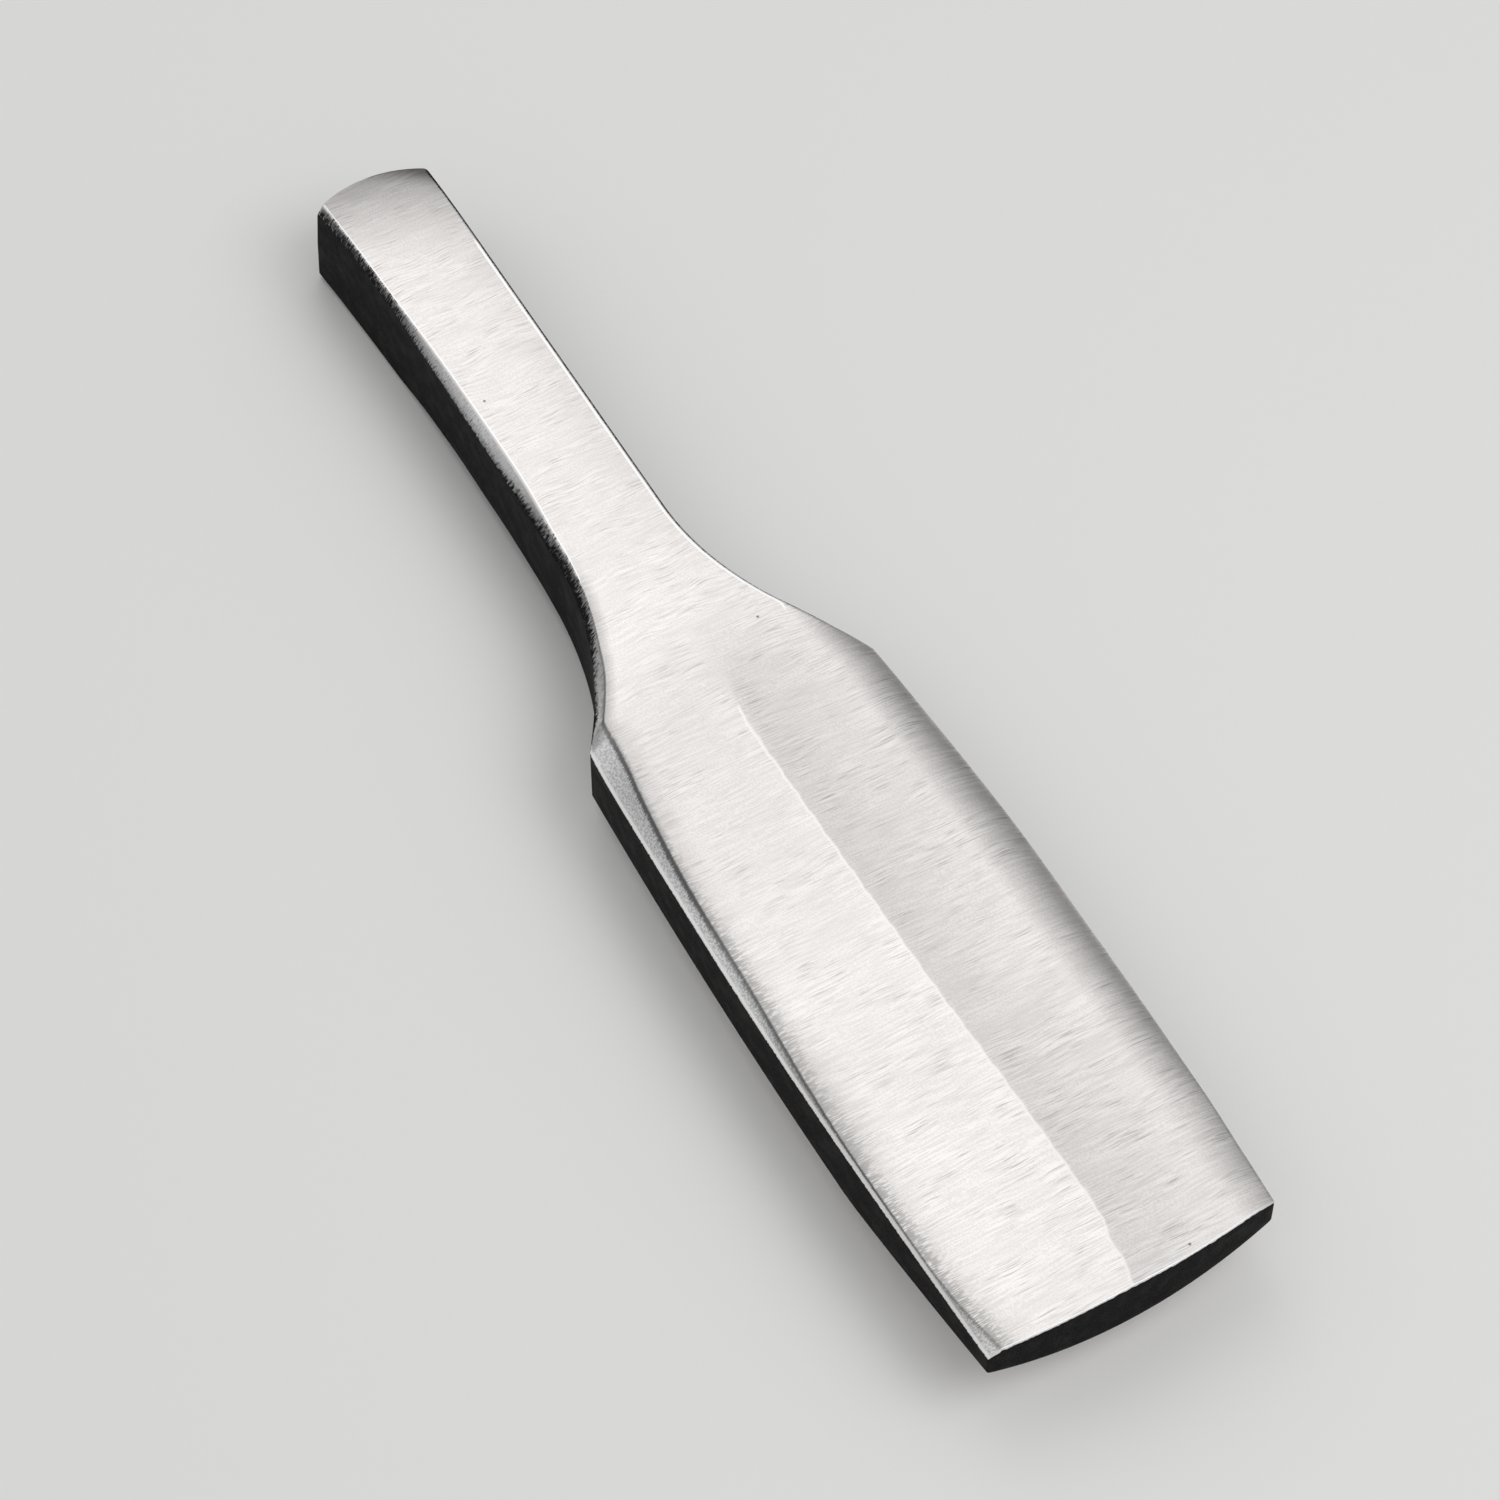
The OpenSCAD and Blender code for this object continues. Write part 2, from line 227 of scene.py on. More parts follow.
STEEL_LIGHT = (1, 0.969, 0.955, 1)
STEEL_DARK = (0.815, 0.787, 0.772, 1)
STEEL_SCRATCH = (0.55, 0.53, 0.515, 1)
STEEL_CLOUD = (0.81, 0.785, 0.77, 1)
# Bright scratches, and the painted highlights along the edges, the rim and the ridge
BRIGHT_SCRATCH_AND_HIGHLIGHT = (1, 0.985, 0.975, 1)
STRIP_LIGHT = (0.99, 0.995, 0.995, 1)
STRIP_DARK = (0.64, 0.64, 0.64, 1)
FRINGE = (0.4, 0.39, 0.38, 1)
# painted shade in the groove
GROOVE_PAINTED_SHADE = (0.25, 0.25, 0.25, 1)
PIT = (0.25, 0.24, 0.23, 1)
SKIN_LIGHT = (0.018, 0.018, 0.019, 1)
SKIN_DARK = (0.003, 0.003, 0.0032, 1)
SKIN_BLOTCH = (0.017, 0.0145, 0.0125, 1)
BLACK = (0, 0, 0, 1)

# Studio, in metres: floor, level of the sky at the horizon and overhead, and the heights between which it
# changes, then place, size and level of each softbox
PAPER, PAPER_ROUGH, FLOOR_SIZE = (0.86, 0.86, 0.85, 1), 0.9, 6
SKY, SKY_LOW, SKY_HIGH, SKY_SPAN = (1, 1, 1, 1), 0.1, 0.72, (0.1, 0.9)
SOFTBOXES = {
    "key_softbox": {"place": (-0.45, 0.1, 0.7), "size": (0.45, 0.8), "level": 0.63},
    "fill_softbox": {"place": (0.5, 0.35, 0.8), "size": (0.6, 0.6), "level": 2.2},
    "side_softbox": {"place": (-0.5, -0.65, 0.55), "size": (0.5, 0.5), "level": 0.3},
}

# Camera at the view of the photograph: angles in degrees, distance to the point that it looks at
CAMERA_AZIMUTH, CAMERA_ELEVATION = 60.4, 54.32
CAMERA_DISTANCE, CAMERA_NEAREST = 692.6, 10
LOOK_AT = (14.19, -3.2, 18.4)
CAMERA_LENS, CAMERA_SENSOR = 110, 36

# Sockets of the Mix node, which go by number
MIX_SHARE = 0
FLOAT_FIRST, FLOAT_SECOND, FLOAT_RESULT = 2, 3, 0
COLOUR_FIRST, COLOUR_SECOND, COLOUR_RESULT = 6, 7, 2


def curve(points, s):
    """Smooth value at station s through given (station, value) points."""
    if s <= points[0][0]:
        return points[0][1]
    if s >= points[-1][0]:
        return points[-1][1]
    i = max(n for n, point in enumerate(points) if point[0] <= s)
    (s0, v0), (s1, v1) = points[i], points[i + 1]
    slopes = []
    for n in (i, i + 1):
        before, after = points[max(n - 1, 0)], points[min(n + 1, len(points) - 1)]
        rise_in = points[n][1] - before[1]
        rise_out = after[1] - points[n][1]
        turns = rise_in * rise_out <= 0
        slopes.append(0 if turns else (after[1] - before[1]) / (after[0] - before[0]))
    t = (s - s0) / (s1 - s0)
    run = s1 - s0
    return (v0 * (1 + 2 * t) * (1 - t) ** 2 + slopes[0] * run * t * (1 - t) ** 2
            + v1 * t * t * (3 - 2 * t) - slopes[1] * run * t * t * (1 - t))


def smooth_step(start, end, value):
    """0 where the value is at start, 1 where it is at end, smooth between."""
    t = min(max((value - start) / (end - start), 0), 1)
    return t * t * (3 - 2 * t)


def soft_min(a, b, blend):
    """The smaller of two values, rounded where they meet."""
    h = min(max(0.5 + 0.5 * (b - a) / blend, 0), 1)
    return b + (a - b) * h - blend * h * (1 - h)


def soft_part(value, blend):
    """The value where it is positive and 0 where it is negative, rounded between."""
    return (value + math.hypot(value, blend)) / 2


def arc_drop(radius, run):
    """How far an arc falls from its tangent after a run."""
    return radius - math.sqrt(max(radius * radius - run * run, 0))


def head_half(plan, s):
    """Distance of the head's bowed side from the middle."""
    bow = plan["fore_r"] if s > plan["widest"] else plan["rear_r"]
    return HALF_HEAD - arc_drop(bow, s - plan["widest"])


def half_width(side, s):
    """Distance of the outline from the middle: hollow flank, concave neck, straight flare, bowed head."""
    plan = PLAN[side]
    flare = math.radians(plan["flare"])
    at_shoulder = head_half(plan, plan["shoulder"])
    foot = plan["shoulder"] - (at_shoulder - plan["flank"]) / math.tan(flare)
    touch = plan["neck_r"] * math.tan(flare / 2)
    neck_start = foot - touch
    if s >= plan["shoulder"]:
        return head_half(plan, s)
    if s >= foot + touch * math.cos(flare):
        return at_shoulder - (plan["shoulder"] - s) * math.tan(flare)
    if s >= neck_start:
        return plan["flank"] + arc_drop(plan["neck_r"], s - neck_start)
    from_butt = s / neck_start
    hollow = 1 - (2 * from_butt - 1) ** 2
    return plan["flank"] + plan["taper"] * (1 - from_butt) - plan["waist"] * hollow


def ripple(s):
    """How far the ridge wanders from its smooth line, as grinding by hand leaves it."""
    return RIPPLE * (math.sin(RIPPLE_SLOW * s) + FAST_SHARE * math.sin(RIPPLE_FAST * s + FAST_SHIFT))


def border_y(side, s):
    """Place across of a facet's border, which is the ridge on the head."""
    return curve(BORDER[side], s) + ripple(s)


def top_z(s, y):
    """Height of the ground top: flat bar, two facets that fall from the ridge, and the roll to the butt."""
    z = THICKNESS - RIDGE_FALL * soft_part(s - RIDGE_START, RIDGE_BLEND)
    for side in PLAN:
        across = y - curve(BORDER[side], s)
        across -= ripple(s) * max(1 - abs(across) / RIPPLE_REACH, 0)
        away = soft_part(side * across, curve(RIDGE_ROUND, s))
        share = away / HOLLOW_WIDTH
        hollow = curve(HOLLOW_RISE, s) * share * share if side == RIGHT else 0
        z -= (away * FACET_TILT[side] - hollow) * smooth_step(*FACET_FADE, s)
    return z - BUTT_ROLL_DROP * max(1 - s / BUTT_ROLL_LENGTH, 0) ** 2


def under_z(s, y):
    """Height of the underside: a crown with a flat along its middle, and a crowned rise at the front."""
    belly = max(arc_drop(BELLY_R, y) - arc_drop(BELLY_R, BELLY_FLAT / 2), 0)
    toe = (s - LENGTH + TOE_LENGTH) * TOE_RISE / TOE_LENGTH + arc_drop(TOE_R, y)
    return -soft_min(-belly, -toe, TOE_BLEND) if toe > belly - TOE_BLEND else belly


def butt_drop(y):
    """How far the butt's edge lies ahead of its outermost point."""
    return arc_drop(BUTT_R, y + BUTT_OFFSET)


def front_drop(y):
    """How far the front edge lies behind its outermost point."""
    return arc_drop(FRONT_R, y + FRONT_OFFSET)


def station_at(s, y):
    """Station of a point whose ring bends to follow the butt and the front edge."""
    at_butt = max(1 - s / END_BLEND, 0) ** 2
    at_front = max(1 - (LENGTH - s) / END_BLEND, 0) ** 2
    return s + butt_drop(y) * at_butt - front_drop(y) * at_front


def roll_start(s, right):
    """Place across where the top starts to roll over to the right edge."""
    return min(right - LIP_WIDTH, curve(ROLL_START, s))


def roll_drop(s, y, right):
    """How far the top has rolled down at a place: broadly on the head, only close to the edge behind it."""
    past = max(y - curve(ROLL_START, s), 0)
    lip = max(1 - (right - y) / LIP_WIDTH, 0)
    return curve(ROLL_STEEP, s) * past ** ROLL_POWER + curve(LIP_DROP, s) * lip ** LIP_POWER


def spread(first, last, parts):
    """Evenly spaced places from first to last."""
    return [first + (last - first) * n / parts for n in range(parts + 1)]


def top_section(s):
    """Places across and heights of the top from the left edge to the right edge."""
    left, right = -half_width(LEFT, s), half_width(RIGHT, s)
    strip_w, strip_d = curve(STRIP_WIDTH, s), curve(STRIP_DROP, s)
    inner, start = left + strip_w, roll_start(s, right)
    inner_z = top_z(station_at(s, inner), inner)
    foot = inner - strip_w * curve(STEP_WIDTH, s)
    points = [(left, inner_z - strip_d), (foot, inner_z - strip_d * curve(STEP_DROP, s))]
    crest = border_y(RIGHT, s)
    across = [inner]
    across += spread(inner + LINE_WIDTH, crest - CREST_WIDTH, FACET_ROWS)
    across += [crest]
    across += spread(crest + CREST_WIDTH, start - LINE_WIDTH, FACET_ROWS)
    across += [start]
    points += [(y, top_z(station_at(s, y), y)) for y in across]
    start_z = points[-1][1]
    slope = (points[-2][1] - start_z) / LINE_WIDTH
    for n in range(1, ROLL_ROWS + 1):
        run = (right - start) * n / ROLL_ROWS
        points.append((start + run, start_z - run * slope - roll_drop(s, start + run, right)))
    return points


def under_section(s, count):
    """Places across and heights of the underside, a count of them from the left edge to the right edge."""
    left, right = -half_width(LEFT, s) - curve(DRAFT, s), half_width(RIGHT, s)
    bevel = curve(LOWER_BEVEL, s)
    inside = count - 2
    across = spread(left + bevel, right - bevel, inside - 1)
    points = [(y, under_z(station_at(s, y), y)) for y in across]
    return [(left, points[0][1] + bevel)] + points + [(right, points[-1][1] + bevel)]


def deselect_all():
    bpy.ops.object.select_all(action="DESELECT")


def ring_stations():
    """Stations of the rings along the bar, with one at each shoulder and one close to each end."""
    count = round(LENGTH / RING_STEP)
    stations = [LENGTH * n / count for n in range(count + 1)]
    extra = [PLAN[side]["shoulder"] for side in PLAN] + [LINE_WIDTH, LENGTH - LINE_WIDTH]
    return sorted(set(stations + extra))


def cut_block(name, rings, rows):
    """A flat grid with a point for each ring and row, extruded down to a block with cuts across its walls."""
    deselect_all()
    bpy.ops.mesh.primitive_grid_add(x_subdivisions=rings - 1, y_subdivisions=rows - 1, size=BLOCK_SIZE)
    block = bpy.context.object
    block.name = name
    bpy.ops.object.mode_set(mode="EDIT")
    bpy.ops.mesh.select_all(action="SELECT")
    bpy.ops.mesh.extrude_region_move(TRANSFORM_OT_translate={"value": (0, 0, -BLOCK_SIZE)})
    bpy.ops.mesh.select_all(action="DESELECT")
    bpy.ops.mesh.select_mode(type="EDGE")
    bpy.ops.object.mode_set(mode="OBJECT")
    for edge in block.data.edges:
        upper, lower = (block.data.vertices[v].co.z for v in edge.vertices)
        edge.select = abs(upper - lower) > BLOCK_SIZE / 2
    bpy.ops.object.mode_set(mode="EDIT")
    bpy.ops.mesh.subdivide(number_cuts=WALL_CUTS)
    bpy.ops.mesh.select_all(action="SELECT")
    bpy.ops.mesh.normals_make_consistent(inside=False)
    bpy.ops.object.mode_set(mode="OBJECT")
    return block


def wall_heights(upper, lower):
    """Heights down a wall: its upper edge, a cut near it, one halfway, one near the lower edge, that edge."""
    margin = min(WALL_MARGIN, (upper - lower) / WALL_PARTS)
    return upper, upper - margin, (upper + lower) / 2, lower + margin, lower


def forge_bar(name):
    """A block whose rings are drawn out to the hammer's sections."""
    stations = ring_stations()
    tops = [top_section(s) for s in stations]
    rows = len(tops[0])
    unders = [under_section(s, rows) for s in stations]
    bar = cut_block(name, len(stations), rows)
    for vertex in bar.data.vertices:
        ring = round((vertex.co.x / BLOCK_SIZE + 1 / 2) * (len(stations) - 1))
        row = round((vertex.co.y / BLOCK_SIZE + 1 / 2) * (rows - 1))
        level = round(-vertex.co.z / BLOCK_SIZE * (WALL_CUTS + 1))
        s = stations[ring]
        top_y, upper = tops[ring][row]
        under_y, lower = unders[ring][row]
        z = wall_heights(upper, lower)[level]
        out = ((upper - z) / (upper - lower)) ** SWELL_POWER
        y = top_y + (under_y - top_y) * out
        lean = BUTT_LEAN * out * max(1 - s / END_BLEND, 0) ** 2
        vertex.co = Vector((station_at(s, y) - lean - HALF_LENGTH, y, z)) * MM
    return bar


def round_edges(bar):
    """Breaks the sharp edges by a small radius, welds what that leaves and shades the rest smooth."""
    deselect_all()
    bar.select_set(True)
    bpy.context.view_layer.objects.active = bar
    bevel = bar.modifiers.new("broken_edges", "BEVEL")
    bevel.width = EDGE_ROUND * MM
    bevel.segments = EDGE_SEGMENTS
    bevel.limit_method = "ANGLE"
    bevel.angle_limit = EDGE_ANGLE
    bevel.use_clamp_overlap = False
    bpy.ops.object.modifier_apply(modifier=bevel.name)
    bpy.ops.object.mode_set(mode="EDIT")
    bpy.ops.mesh.select_all(action="SELECT")
    bpy.ops.mesh.remove_doubles(threshold=WELD * MM)
    bpy.ops.object.mode_set(mode="OBJECT")
    bpy.ops.object.shade_smooth_by_angle(angle=SMOOTH_ANGLE)


@functools.lru_cache(maxsize=None)
def sections_at(step):
    """Top and underside of the section at a whole number of steps from the butt end."""
    top = top_section(step * SECTION_STEP)
    return top, under_section(step * SECTION_STEP, len(top))


def height_at(section, y):
    """Height of a section at a place across it."""
    for (y0, z0), (y1, z1) in zip(section, section[1:]):
        if y <= y1:
            return z0 + (z1 - z0) * min(max((y - y0) / (y1 - y0), 0), 1)
    return section[-1][1]


def spot_at(point):
    """Where a point of the surface lies: station, place across, and distances from ends, sides and faces."""
    x, y, z = point / MM
    s = min(max(x + HALF_LENGTH, 0), LENGTH)
    top, under = sections_at(round(s / SECTION_STEP))
    spot = types.SimpleNamespace(s=s, y=y, left=top[0][0], right=top[-1][0])
    spot.inner = spot.left + curve(STRIP_WIDTH, s)
    spot.from_butt = s - butt_drop(y)
    spot.from_front = LENGTH - front_drop(y) - s
    spot.from_end = max(min(spot.from_butt, spot.from_front), 0)
    spot.from_side = max(min(y - spot.left, spot.right - y), 0)
    above, below = height_at(top, y) - z, z - height_at(under, y)
    spot.upper = above < below
    spot.depth = max(min(above, below), 0)
    spot.on_head = smooth_step(*HEAD_FADE, s)
    return spot


def skin_mark(spot):
    """How far a spot lies past the border of the dark skin, as a share of the border's raggedness."""
    ragged = SKIN_EVEN
    if not spot.upper:
        reach = SKIN_UNDER + (curve(LOWER_BEVEL, spot.s) if spot.from_side < spot.from_end else 0)
    elif spot.from_end < spot.from_side:
        reach = SKIN_ENDS
    elif spot.y > 0:
        reach = curve(SKIN_RIGHT, spot.s)
    else:
        reach = curve(SKIN_LEFT, spot.s) if spot.y < spot.inner + EDGE_ROUND / 2 else SKIN_CLEAR
        ragged = curve(SKIN_RAGGED, spot.s)
    return (spot.depth - min(spot.from_end, spot.from_side) + reach) / ragged


def strip_mark(spot):
    """How far a spot lies past the strip's inner border, counted in widths of the step inside the strip."""
    past = spot.inner - spot.y
    if past < 0 or not spot.upper:
        return past
    return past / (curve(STRIP_WIDTH, spot.s) * curve(STEP_WIDTH, spot.s))


def shade_mark(spot):
    """How much darker the strip is."""
    return curve(STRIP_SHADE, spot.s)


def fringe_mark(spot):
    """1 at the strip's inner border on the head, 0 at the far side of the fringe, less beyond it."""
    if not spot.upper:
        return FRINGE_CLEAR
    return spot.on_head - (spot.y - spot.inner) / curve(FRINGE_WIDTH, spot.s)


def groove_shade_mark(spot):
    """How dark the painted shade in the groove is."""
    return curve(GROOVE_SHADE, spot.s) * spot.on_head


def painted_shading_mark(spot):
    """How much painted shade darkens the ground top below its brightest stretches, from 0 to 1, less where
    painted light brightens it beside the ridge.
    """
    if not spot.upper:
        return 0
    s, y = spot.s, spot.y
    crest = border_y(RIGHT, s)
    side = LEFT if y < crest + CREST_WIDTH / 2 else RIGHT
    painted_shading = curve(FACET_PAINTED_SHADE[side], s)
    if side == LEFT:
        # painted light on the left facet beside the ridge
        painted_light = smooth_step(RIDGE_PAINTED_LIGHT_WIDTH, 0, crest - y) * smooth_step(HEAD_FADE[0], RIDGE_START, s)
        painted_shading -= RIDGE_PAINTED_LIGHT * painted_light
    painted_shading += curve(STRIP_PAINTED_SHADE, s) * smooth_step(curve(STRIP_PAINTED_SHADE_WIDTH, s), 0, y - spot.inner)
    painted_shading += curve(EDGE_PAINTED_SHADE, s) * smooth_step(EDGE_PAINTED_SHADE_WIDTH, 0, spot.right - y)
    from_corner = s - BUTT_SLANT * y - BUTT_CORNER * max(y, 0) ** 2
    return max(painted_shading, 0) + curve(BUTT_PAINTED_SHADE, from_corner)


def edge_highlight_mark(spot):
    """Distance from the nearest painted highlight line along the handle's edges, the butt and the front."""
    if not spot.upper:
        return LINE_FAR
    s, y = spot.s, spot.y
    left_line = abs(y - spot.inner) + LINE_FAR * smooth_step(*LEFT_LINE_FADE, s)
    right_line = abs(y - roll_start(s, spot.right)) + LINE_FAR * spot.on_head
    right_line += LINE_FAR * smooth_step(*reversed(RIGHT_LINE_FADE), s)
    butt_line = spot.from_butt + LINE_FAR * smooth_step(*BUTT_LINE_FADE, y)
    return min(left_line, right_line, butt_line, spot.from_front)


def rim_highlight_mark(spot):
    """Distance from the painted highlight of the rim along the left edge of the head."""
    if not spot.upper:
        return LINE_FAR
    return spot.y - spot.left + LINE_FAR - LINE_FAR * spot.on_head


def ridge_highlight_mark(spot):
    """Distance from the painted highlight line along the ridge and along the left facet's border behind it.
    """
    s, y = spot.s, spot.y
    ridge_line = abs(y - border_y(RIGHT, s)) + LINE_FAR * smooth_step(RIDGE_START, HEAD_FADE[0], s)
    border_line = abs(y - border_y(LEFT, s)) + LINE_FAR * smooth_step(*reversed(BORDER_LINE_FADE), s)
    return min(ridge_line, border_line)


MARKS = {
    "skin": skin_mark,
    "strip": strip_mark,
    "shade": shade_mark,
    "fringe": fringe_mark,
    "groove": groove_shade_mark,
    "painted_shading": painted_shading_mark,
    "edge": edge_highlight_mark,
    "rim": rim_highlight_mark,
    "ridge": ridge_highlight_mark,
}


def add_marks(bar):
    """Stores on each vertex the marks that the finish follows."""
    spots = [spot_at(vertex.co) for vertex in bar.data.vertices]
    for name, measure in MARKS.items():
        values = [measure(spot) for spot in spots]
        bar.data.attributes.new(name, "FLOAT", "POINT").data.foreach_set("value", values)


def new_node(tree, kind, inputs=None, **settings):
    """Adds a node, sets its properties, and fills or links its inputs."""
    node = tree.nodes.new(kind)
    for name, setting in settings.items():
        setattr(node, name, setting)
    for name, given in (inputs or {}).items():
        if isinstance(given, bpy.types.NodeSocket):
            tree.links.new(given, node.inputs[name])
        else:
            node.inputs[name].default_value = given
    return node


def maths(tree, operation, *values):
    return new_node(tree, "ShaderNodeMath", dict(enumerate(values)), operation=operation).outputs[0]


def ramp(tree, value, start, end):
    """0 where the value is at start, 1 where it is at end, smooth between."""
    inputs = {"Value": value, "From Min": start, "From Max": end}
    return new_node(tree, "ShaderNodeMapRange", inputs, interpolation_type="SMOOTHSTEP").outputs["Result"]


def noise(tree, place, size, detail, turn=0):
    """Noise from 0 to 1, with grains of the given size in millimetres, turned about Z by some degrees."""
    scale, rotation = [MM * length for length in size], (0, 0, math.radians(turn))
    inputs = {"Vector": place, "Scale": scale, "Rotation": rotation}
    mapping = new_node(tree, "ShaderNodeMapping", inputs, vector_type="TEXTURE")
    inputs = {"Vector": mapping.outputs["Vector"], "Scale": 1, "Detail": detail}
    return new_node(tree, "ShaderNodeTexNoise", inputs).outputs["Fac"]


def centred(tree, value):
    """Noise moved to lie about 0."""
    return maths(tree, "SUBTRACT", value, NOISE_MIDDLE)


def mixed(tree, share, first, second):
    inputs = {MIX_SHARE: share, FLOAT_FIRST: first, FLOAT_SECOND: second}
    return new_node(tree, "ShaderNodeMix", inputs, data_type="FLOAT").outputs[FLOAT_RESULT]


def mixed_colour(tree, share, first, second, way="MIX"):
    inputs = {MIX_SHARE: share, COLOUR_FIRST: first, COLOUR_SECOND: second}
    node = new_node(tree, "ShaderNodeMix", inputs, data_type="RGBA", blend_type=way)
    return node.outputs[COLOUR_RESULT]


def mark(tree, name):
    return new_node(tree, "ShaderNodeAttribute", attribute_name=name).outputs["Fac"]


def wavy(tree, place, on_head):
    """The given place, shifted a little along the tool, so that strokes wander as in grinding by hand."""
    wave = centred(tree, noise(tree, place, **WAVES))
    size = mixed(tree, on_head, 2 * HANDLE_WAVE * MM, 2 * HEAD_WAVE * MM)
    shift = maths(tree, "MULTIPLY", wave, size)
    offset = new_node(tree, "ShaderNodeCombineXYZ", {"X": shift}).outputs["Vector"]
    return new_node(tree, "ShaderNodeVectorMath", {0: place, 1: offset}, operation="ADD").outputs["Vector"]


def grinding(tree, place, clusters, specks):
    """Cross strokes from 0 to 1, strong in clusters and faint between them, with fine specks."""
    strokes = centred(tree, noise(tree, place, **STROKES))
    strength = mixed(tree, clusters, CALM, 1)
    strokes = maths(tree, "MULTIPLY_ADD", strokes, strength, NOISE_MIDDLE)
    return maths(tree, "ADD", strokes, specks)


def scratched(tree, place, colour, clusters):
    """The given colour with darker and brighter scratches in the clusters."""
    scratches = noise(tree, place, **SCRATCHES)
    share = maths(tree, "MULTIPLY", clusters, SCRATCH_SHARE)
    for span, scratch in ((DARK_SCRATCHES, STEEL_SCRATCH), (BRIGHT_SCRATCHES, BRIGHT_SCRATCH_AND_HIGHLIGHT)):
        cover = maths(tree, "MULTIPLY", ramp(tree, scratches, *span), share)
        colour = mixed_colour(tree, cover, colour, scratch)
    return colour


def pitted(tree, place, colour):
    """The given colour with a few small dark pits."""
    for s, y in PITS:
        pit = Vector((s - HALF_LENGTH, y, top_z(s, y))) * MM
        away = new_node(tree, "ShaderNodeVectorMath", {0: place, 1: pit}, operation="DISTANCE")
        cover = ramp(tree, away.outputs["Value"], PIT_R * MM, PIT_R * MM / 2)
        colour = mixed_colour(tree, cover, colour, PIT)
    return colour


def ground_colour(tree, place, strokes, clusters):
    """Bright steel with fine cross strokes, scratches, broad bands, painted shade, and a painted highlight
    along the ridge.
    """
    colour = mixed_colour(tree, ramp(tree, strokes, *STROKE_RANGE), STEEL_DARK, STEEL_LIGHT)
    colour = scratched(tree, place, colour, clusters)
    bands = ramp(tree, noise(tree, place, **BANDS), *BAND_RANGE)
    colour = mixed_colour(tree, maths(tree, "MULTIPLY", bands, BAND_SHARE), colour, STEEL_CLOUD)
    # painted shade and painted light from the mark, multiplied into the steel colour
    colour = mixed_colour(tree, mark(tree, "painted_shading"), colour, BLACK, "MULTIPLY")
    # painted highlight along the ridge
    ridge = maths(tree, "MULTIPLY", ramp(tree, mark(tree, "ridge"), RIDGE_HIGHLIGHT, 0), RIDGE_HIGHLIGHT_SHARE)
    return mixed_colour(tree, ridge, colour, BRIGHT_SCRATCH_AND_HIGHLIGHT)


def fringed(tree, place, colour):
    """The given colour with a fringe of dark grinding marks beside the strip."""
    near = ramp(tree, mark(tree, "fringe"), 0, 1)
    tufts = noise(tree, place, **TUFTS)
    tips = ramp(tree, maths(tree, "MULTIPLY_ADD", near, FRINGE_REACH, tufts), *FRINGE_RANGE)
    return mixed_colour(tree, maths(tree, "MULTIPLY", tips, near), colour, FRINGE)


def strip_colour(tree, hairs, grain, on_head):
    """Grainy steel of the strip, streaked on the handle and speckled on the head."""
    mottle = mixed(tree, on_head, hairs, grain)
    colour = mixed_colour(tree, ramp(tree, mottle, *GRAIN_RANGE), STRIP_DARK, STRIP_LIGHT)
    return mixed_colour(tree, mark(tree, "shade"), colour, BLACK, "MULTIPLY")


def with_strip(tree, colour, strip, hairs, on_head):
    """The given colour with the strip along the left edge and painted shade in the groove inside it."""
    jag = mixed(tree, on_head, *STRIP_JAG)
    jagged = maths(tree, "MULTIPLY_ADD", centred(tree, hairs), jag, mark(tree, "strip"))
    colour = mixed_colour(tree, ramp(tree, jagged, *STRIP_RANGE), colour, strip)
    inner, outer = ramp(tree, jagged, *GROOVE_INNER), ramp(tree, jagged, *GROOVE_OUTER)
    # painted shade in the groove inside the strip
    groove = maths(tree, "MULTIPLY", maths(tree, "MULTIPLY", inner, outer), mark(tree, "groove"))
    return mixed_colour(tree, groove, colour, GROOVE_PAINTED_SHADE)


def with_edge_highlights(tree, colour, rim):
    """The given colour with painted highlights: thin bright lines along the edges and a bright rim along the
    strip.
    """
    # painted highlight lines along the edges
    line = ramp(tree, mark(tree, "edge"), EDGE_HIGHLIGHT, EDGE_HIGHLIGHT_CORE)
    colour = mixed_colour(tree, line, colour, BRIGHT_SCRATCH_AND_HIGHLIGHT)
    return mixed_colour(tree, rim, colour, BRIGHT_SCRATCH_AND_HIGHLIGHT)


def skin_colour(tree, grain, blotches):
    """Dark forge skin with a fine grain and faint brown blotches."""
    colour = mixed_colour(tree, ramp(tree, grain, *SKIN_GRAIN_RANGE), SKIN_DARK, SKIN_LIGHT)
    return mixed_colour(tree, maths(tree, "MULTIPLY", blotches, BLOTCH_SHARE), colour, SKIN_BLOTCH)


def relief(tree, skin, strokes, grain):
    """Shallow relief: the strokes on the ground steel, a stronger grain on the skin."""
    scale = maths(tree, "MULTIPLY_ADD", grain, SKIN_RELIEF, (1 - SKIN_RELIEF) * NOISE_MIDDLE)
    height = mixed(tree, skin, strokes, scale)
    inputs = {"Height": height, "Strength": BUMP, "Distance": BUMP_DEPTH * MM}
    return new_node(tree, "ShaderNodeBump", inputs).outputs["Normal"]


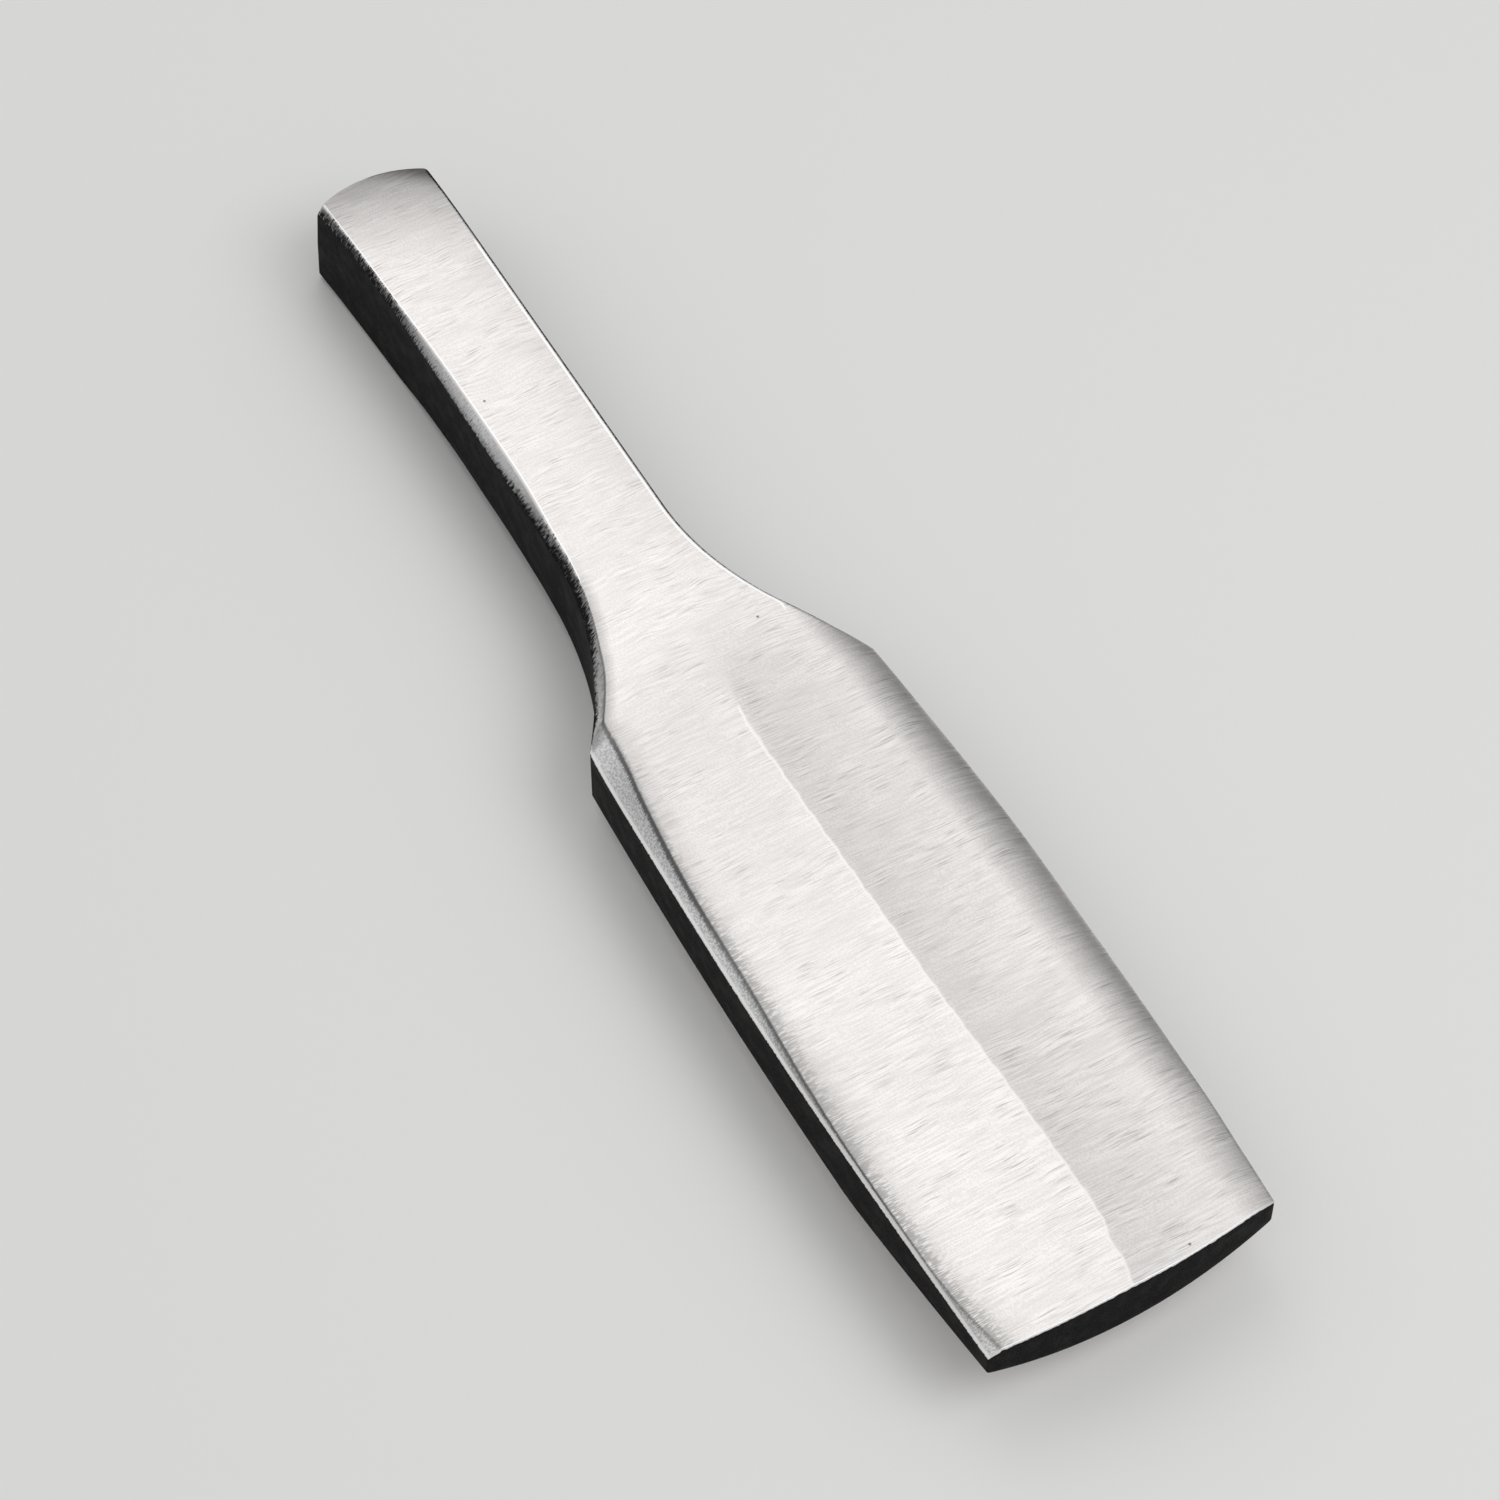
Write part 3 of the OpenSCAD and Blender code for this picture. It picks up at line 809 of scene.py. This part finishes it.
def steel_material():
    """Steel ground bright on top and underneath, with dull dark forge skin on flanks and ends."""
    material = bpy.data.materials.new("forged_steel")
    material.use_nodes = True
    tree = material.node_tree
    place = new_node(tree, "ShaderNodeTexCoord").outputs["Object"]
    along = new_node(tree, "ShaderNodeSeparateXYZ", {"Vector": place}).outputs["X"]
    on_head = ramp(tree, along, *HEAD_SPAN)
    hairs = noise(tree, place, **HAIRS)
    grain = noise(tree, place, **GRAIN)
    specks = maths(tree, "MULTIPLY_ADD", grain, GRAIN_SHARE, -GRAIN_SHARE * NOISE_MIDDLE)
    blotches = ramp(tree, noise(tree, place, **BLOTCHES), *BLOTCH_RANGE)
    clusters = ramp(tree, noise(tree, place, **CLUSTERS), *CLUSTER_RANGE)
    ground_place = wavy(tree, place, on_head)
    strokes = grinding(tree, ground_place, clusters, specks)
    skin = ramp(tree, maths(tree, "ADD", mark(tree, "skin"), centred(tree, hairs)), *SKIN_RANGE)
    # painted highlight along the strip's rim
    rim = ramp(tree, maths(tree, "ADD", mark(tree, "rim"), specks), RIM_HIGHLIGHT, RIM_HIGHLIGHT / 2)

    colour = ground_colour(tree, ground_place, strokes, clusters)
    colour = fringed(tree, place, pitted(tree, place, colour))
    colour = with_strip(tree, colour, strip_colour(tree, hairs, grain, on_head), hairs, on_head)
    colour = with_edge_highlights(tree, colour, rim)
    colour = mixed_colour(tree, skin, colour, skin_colour(tree, grain, blotches))
    rough = mixed(tree, skin, mixed(tree, strokes, *STEEL_ROUGH), mixed(tree, blotches, *SKIN_ROUGH))
    # the rim's painted highlight is also less metallic, so it shows matt and white
    bare = mixed(tree, skin, maths(tree, "MULTIPLY_ADD", rim, -RIM_HIGHLIGHT_HAZE, 1), 0)

    shader = tree.nodes["Principled BSDF"]
    shader.inputs["Specular IOR Level"].default_value = SKIN_GLOSS
    tree.links.new(colour, shader.inputs["Base Color"])
    tree.links.new(bare, shader.inputs["Metallic"])
    tree.links.new(rough, shader.inputs["Roughness"])
    tree.links.new(relief(tree, skin, strokes, grain), shader.inputs["Normal"])
    return material


def paper_material():
    """Plain pale paper."""
    paper = bpy.data.materials.new("pale_paper")
    paper.use_nodes = True
    shader = paper.node_tree.nodes["Principled BSDF"]
    shader.inputs["Base Color"].default_value = PAPER
    shader.inputs["Roughness"].default_value = PAPER_ROUGH
    return paper


def lay_floor():
    deselect_all()
    bpy.ops.mesh.primitive_plane_add(size=FLOOR_SIZE)
    floor = bpy.context.object
    floor.name = "floor"
    floor.data.materials.append(paper_material())


def hang_softbox(scene, name, place, size, level):
    """A lamp of the given radiance, turned to the tool."""
    lamp = bpy.data.lights.new(name, "AREA")
    lamp.shape = "RECTANGLE"
    lamp.size, lamp.size_y = size
    lamp.energy = level * math.pi * size[0] * size[1]
    softbox = bpy.data.objects.new(name, lamp)
    scene.collection.objects.link(softbox)
    softbox.location = place
    softbox.rotation_mode = "QUATERNION"
    softbox.rotation_quaternion = (-Vector(place)).to_track_quat("-Z", "Y")


def light_studio(scene):
    """A plain sky, dim at the horizon, and softboxes behind the butt, ahead of the head and at the left."""
    world = bpy.data.worlds.new("studio")
    scene.world = world
    world.use_nodes = True
    tree = world.node_tree
    direction = new_node(tree, "ShaderNodeTexCoord").outputs["Generated"]
    height = new_node(tree, "ShaderNodeSeparateXYZ", {"Vector": direction}).outputs["Z"]
    strength = mixed(tree, ramp(tree, height, *SKY_SPAN), SKY_LOW, SKY_HIGH)
    tree.links.new(strength, tree.nodes["Background"].inputs["Strength"])
    tree.nodes["Background"].inputs["Color"].default_value = SKY
    for name, softbox in SOFTBOXES.items():
        hang_softbox(scene, name, **softbox)


def place_camera(scene):
    azimuth, elevation = math.radians(CAMERA_AZIMUTH), math.radians(CAMERA_ELEVATION)
    level = math.cos(elevation)
    back = Vector((math.sin(azimuth) * level, -math.cos(azimuth) * level, math.sin(elevation)))
    camera = bpy.data.objects.new("camera", bpy.data.cameras.new("camera"))
    scene.collection.objects.link(camera)
    camera.data.lens = CAMERA_LENS
    camera.data.sensor_width = CAMERA_SENSOR
    camera.data.clip_start = CAMERA_NEAREST * MM
    camera.location = (Vector(LOOK_AT) + back * CAMERA_DISTANCE) * MM
    camera.rotation_mode = "QUATERNION"
    camera.rotation_quaternion = (-back).to_track_quat("-Z", "Y")
    scene.camera = camera


hammer = forge_bar("ground_hammer")
round_edges(hammer)
add_marks(hammer)
hammer.data.materials.append(steel_material())
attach(hammer, "root")
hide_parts("hammer_body")
lay_floor()
scene = bpy.context.scene
scene.view_settings.view_transform = "Standard"
light_studio(scene)
place_camera(scene)
